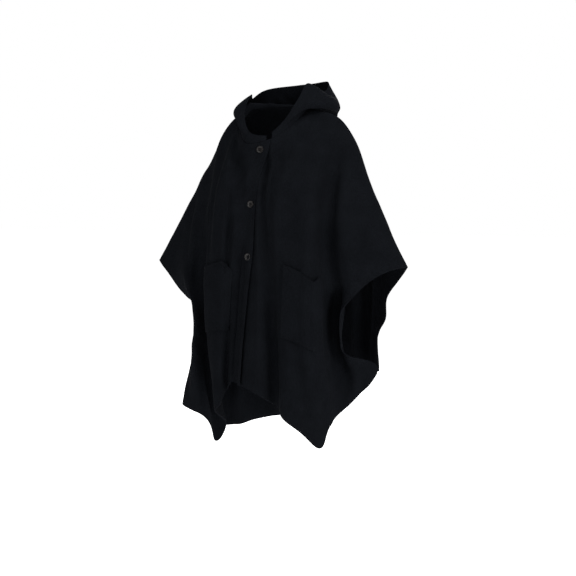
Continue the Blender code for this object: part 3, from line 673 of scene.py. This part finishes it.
def addNode(tree, kind, settings=None, links=None):
    node = tree.nodes.new("ShaderNode" + kind)
    for key, value in (settings or {}).items():
        if key in node.inputs.keys():
            node.inputs[key].default_value = value
        else:
            setattr(node, key, value)
    for key, source in (links or {}).items():
        tree.links.new(source, node.inputs[key])
    return node


def newMaterial(name):
    made = bpy.data.materials.new(name)
    made.use_nodes = True
    made.node_tree.nodes.clear()
    return made, made.node_tree


def rampOf(tree, source, stops):
    ramp = addNode(tree, "ValToRGB", {}, {"Fac": source})
    while len(ramp.color_ramp.elements) < len(stops):
        ramp.color_ramp.elements.new(0.5)
    for element, (place, colour) in zip(ramp.color_ramp.elements, stops):
        element.position = place
        element.color = colour
    return ramp


def boiledWool():
    # Knitted wool, shrunk and felted: no weave shows. A matt, slightly pebbled nap of short fibres
    # that drinks the light face on and greys a little where it is seen along the surface.
    made, tree = newMaterial("boiled wool")
    place = addNode(tree, "TexCoord").outputs["Object"]
    felt = addNode(tree, "TexNoise", {"Scale": 1 / (2.4 * mm), "Detail": 4.0, "Roughness": 0.65}, {"Vector": place})
    patch = addNode(tree, "TexNoise", {"Scale": 1 / (60 * mm), "Detail": 2.0}, {"Vector": place})
    glintNoise = addNode(tree, "TexNoise", {"Scale": 1 / (1.5 * mm), "Detail": 2.0, "Roughness": 0.8}, {"Vector": place})
    pebble = addNode(tree, "TexNoise", {"Scale": 1 / (7 * mm), "Detail": 3.0, "Roughness": 0.55}, {"Vector": place})
    base = rampOf(tree, felt.outputs["Fac"], [(0.30, hexColour("0a0b0d")), (0.70, hexColour("14161a"))])
    tone = rampOf(tree, patch.outputs["Fac"], [(0.35, hexColour("ececec")), (0.65, hexColour("ffffff"))])
    dyed = addNode(tree, "Mix", {"data_type": "RGBA", "blend_type": "MULTIPLY", "Factor": 1.0})
    tree.links.new(base.outputs["Color"], dyed.inputs[6])
    tree.links.new(tone.outputs["Color"], dyed.inputs[7])
    # painted glints: scattered lighter specks in the base colour that stand for single fibres catching the light
    glintMask = rampOf(tree, glintNoise.outputs["Fac"], [(0.66, (0, 0, 0, 1)), (0.78, (0.4, 0.4, 0.4, 1))])
    paintedGlint = addNode(tree, "Mix", {"data_type": "RGBA"}, {"Factor": glintMask.outputs["Color"]})
    tree.links.new(dyed.outputs[2], paintedGlint.inputs[6])
    # colour of the painted glints
    paintedGlint.inputs[7].default_value = hexColour("35363a")
    low = addNode(tree, "Bump", {"Strength": 0.55, "Distance": 0.9 * mm}, {"Height": pebble.outputs["Fac"]})
    fine = addNode(tree, "Bump", {"Strength": 0.75, "Distance": 0.45 * mm},
                   {"Height": felt.outputs["Fac"], "Normal": low.outputs["Normal"]})
    surface = addNode(tree, "BsdfPrincipled", {"Roughness": 0.95, "IOR": 1.45, "Specular IOR Level": 0.01,
                                               "Sheen Weight": 0.006, "Sheen Roughness": 0.45,
                                               "Sheen Tint": hexColour("b4b9c4")},
                      {"Base Color": paintedGlint.outputs[2], "Normal": fine.outputs["Normal"]})
    addNode(tree, "OutputMaterial", {}, {"Surface": surface.outputs["BSDF"]})
    return made


def sewingThread():
    # Twisted polyester thread in the colour of the cloth: smoother than the wool, so it glints a little
    made, tree = newMaterial("polyester sewing thread")
    place = addNode(tree, "TexCoord").outputs["Object"]
    twist = addNode(tree, "TexNoise", {"Scale": 1 / (0.8 * mm), "Detail": 1.0}, {"Vector": place})
    shade = rampOf(tree, twist.outputs["Fac"], [(0.3, hexColour("08090a")), (0.7, hexColour("131417"))])
    surface = addNode(tree, "BsdfPrincipled", {"Roughness": 0.8, "Specular IOR Level": 0.06, "Sheen Weight": 0.004},
                      {"Base Color": shade.outputs["Color"]})
    addNode(tree, "OutputMaterial", {}, {"Surface": surface.outputs["BSDF"]})
    return made


def buffaloHorn():
    # Sawn and turned horn, polished: near black with faint grey-brown streaks, and a soft gloss
    made, tree = newMaterial("buffalo horn")
    place = addNode(tree, "TexCoord").outputs["Object"]
    drawn = addNode(tree, "Mapping", {"Scale": (1.0, 1.0, 5.0), "Rotation": (0.3, 0.5, 0.2)}, {"Vector": place})
    streak = addNode(tree, "TexNoise", {"Scale": 1 / (5 * mm), "Detail": 4.0, "Distortion": 1.2},
                     {"Vector": drawn.outputs["Vector"]})
    shade = rampOf(tree, streak.outputs["Fac"], [(0.40, hexColour("0b0a0a")), (0.72, hexColour("1f1b19"))])
    gloss = rampOf(tree, streak.outputs["Fac"], [(0.3, (0.24, 0.24, 0.24, 1)), (0.8, (0.38, 0.38, 0.38, 1))])
    surface = addNode(tree, "BsdfPrincipled", {"IOR": 1.55, "Specular IOR Level": 0.25,
                                               "Coat Weight": 0.14, "Coat Roughness": 0.12},
                      {"Base Color": shade.outputs["Color"], "Roughness": gloss.outputs["Color"]})
    addNode(tree, "OutputMaterial", {}, {"Surface": surface.outputs["BSDF"]})
    return made


def paintedFloor():
    # Matt white studio floor
    made, tree = newMaterial("matt white floor paint")
    place = addNode(tree, "TexCoord").outputs["Object"]
    mottle = addNode(tree, "TexNoise", {"Scale": 1.2, "Detail": 2.0}, {"Vector": place})
    shade = rampOf(tree, mottle.outputs["Fac"], [(0.3, hexColour("fcfcfc")), (0.7, hexColour("fefefe"))])
    surface = addNode(tree, "BsdfPrincipled", {"Roughness": 0.9, "Specular IOR Level": 0.1,
                                               "Emission Color": hexColour("ffffff"), "Emission Strength": 0.9},
                      {"Base Color": shade.outputs["Color"]})
    addNode(tree, "OutputMaterial", {}, {"Surface": surface.outputs["BSDF"]})
    return made


wool, thread, horn, floorPaint = boiledWool(), sewingThread(), buffaloHorn(), paintedFloor()


def finishPiece(item, finish, nodes=()):
    item.data.materials.clear()
    item.data.materials.append(finish)
    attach(item, "root")
    if nodes:
        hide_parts(*nodes)


finishPiece(frontLeft, wool, ["front_left"])
finishPiece(frontRight, wool, ["front_right"])
finishPiece(back, wool, ["back"])
finishPiece(hoodLeft, wool, ["hood_left"])
finishPiece(hoodRight, wool, ["hood_right"])
finishPiece(pocketLeft, wool, ["pocket_left"])
finishPiece(pocketRight, wool, ["pocket_right"])
for item in stitches.values():
    finishPiece(item, thread)
for item in (buttonThread, buttonholes):
    finishPiece(item, thread)
for item, node in buttonPieces:
    finishPiece(item, horn, [node])

print("finishes given")

# Studio
studio = {
    "floorHeight": -1.45, "floorSize": 60.0,
    "cameraAt": (2.0607, -3.9882, -0.2539), "lookAt": (0.0227, 0.0116, -0.5678), "lens": 88.17,
    "backdrop": 1.0, "fill": 0.16,
}
bpy.ops.object.select_all(action="DESELECT")
bpy.ops.mesh.primitive_plane_add(size=studio["floorSize"], location=(0, 0, studio["floorHeight"]))
floor = bpy.context.active_object
floor.name = "floor"
floor.data.materials.append(floorPaint)


def addLight(name, at, aim, size, power):
    bpy.ops.object.light_add(type="AREA", location=at)
    lamp = bpy.context.active_object
    lamp.name = name
    lamp.rotation_euler = (Vector(aim) - Vector(at)).to_track_quat("-Z", "Y").to_euler()
    lamp.data.shape = "RECTANGLE"
    lamp.data.size, lamp.data.size_y = size
    lamp.data.energy = power
    return lamp


# Name, place, aim, size and watts
lamps = [
    ("topSoftbox", (0.6, -0.5, 2.4), (0.0, 0.0, -0.4), (2.6, 2.6), 76),
    ("rightSoftbox", (4.4, -1.6, 0.9), (0.0, 0.0, -0.6), (1.4, 2.2), 98),
    ("leftSoftbox", (-2.2, -4.4, 0.9), (0.0, 0.0, -0.6), (1.4, 2.2), 26),
    ("backSoftbox", (-1.6, 4.4, 1.6), (0.0, 0.0, -0.6), (2.4, 2.4), 170),
]
for lamp in lamps:
    addLight(*lamp)

# The backdrop is white to the eye, while the light that it gives back is weak, so folds stay deep
world = bpy.data.worlds.new("studio")
bpy.context.scene.world = world
world.use_nodes = True
air = world.node_tree
seen = air.nodes["Background"]
seen.inputs["Color"].default_value = (1.0, 1.0, 1.0, 1.0)
seen.inputs["Strength"].default_value = studio["backdrop"]
given = addNode(air, "Background", {"Color": (1.0, 1.0, 1.0, 1.0), "Strength": studio["fill"]})
sight = addNode(air, "LightPath")
either = addNode(air, "MixShader", {}, {"Fac": sight.outputs["Is Camera Ray"]})
air.links.new(given.outputs["Background"], either.inputs[1])
air.links.new(seen.outputs["Background"], either.inputs[2])
air.links.new(either.outputs["Shader"], air.nodes["World Output"].inputs["Surface"])

bpy.ops.object.camera_add(location=studio["cameraAt"])
camera = bpy.context.active_object
sightLine = Vector(studio["lookAt"]) - Vector(studio["cameraAt"])
camera.rotation_euler = sightLine.to_track_quat("-Z", "Y").to_euler()
camera.data.sensor_width = 36.0
camera.data.lens = studio["lens"]
bpy.context.scene.camera = camera
bpy.context.scene.view_settings.view_transform = "Standard"   # plain colours, so that black stays black
print("studio set")
